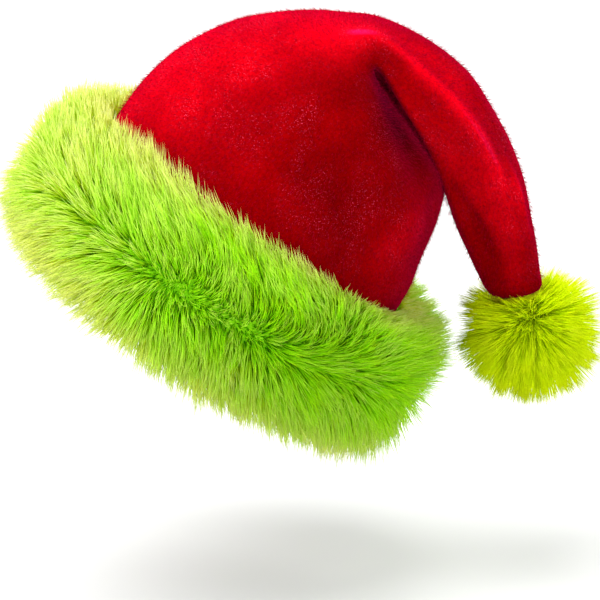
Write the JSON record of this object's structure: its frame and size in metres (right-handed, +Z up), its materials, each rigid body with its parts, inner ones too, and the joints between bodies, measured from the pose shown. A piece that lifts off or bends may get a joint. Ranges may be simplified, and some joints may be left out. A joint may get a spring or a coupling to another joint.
{
  "type": "santa hat",
  "caption": "Red plush santa hat as worn, tipped back, with its point folded over, a lime green faux-fur cuff and a pompom.",
  "frame": {"origin": "middle of the head opening, in the plane of the crown's rim", "axes": "+Z up as worn; -X is where the wearer faces, and the point hangs down at +X; Y is across the head. The hat leans back 33 degrees about Y, so the head leaves down and forwards, along the mount's axis"},
  "size_m": [0.3513, 0.2625, 0.2547],
  "materials": {
    "red_plush": "short-pile plush with a soft sheen",
    "lime_fur": "long-pile faux fur",
    "yellow_lime_fur": "long-pile faux fur"
  },
  "bodies": {
    "root": {"crown": "red_plush", "fur_cuff": "lime_fur", "pompom": "yellow_lime_fur"}
  },
  "joints": []
}
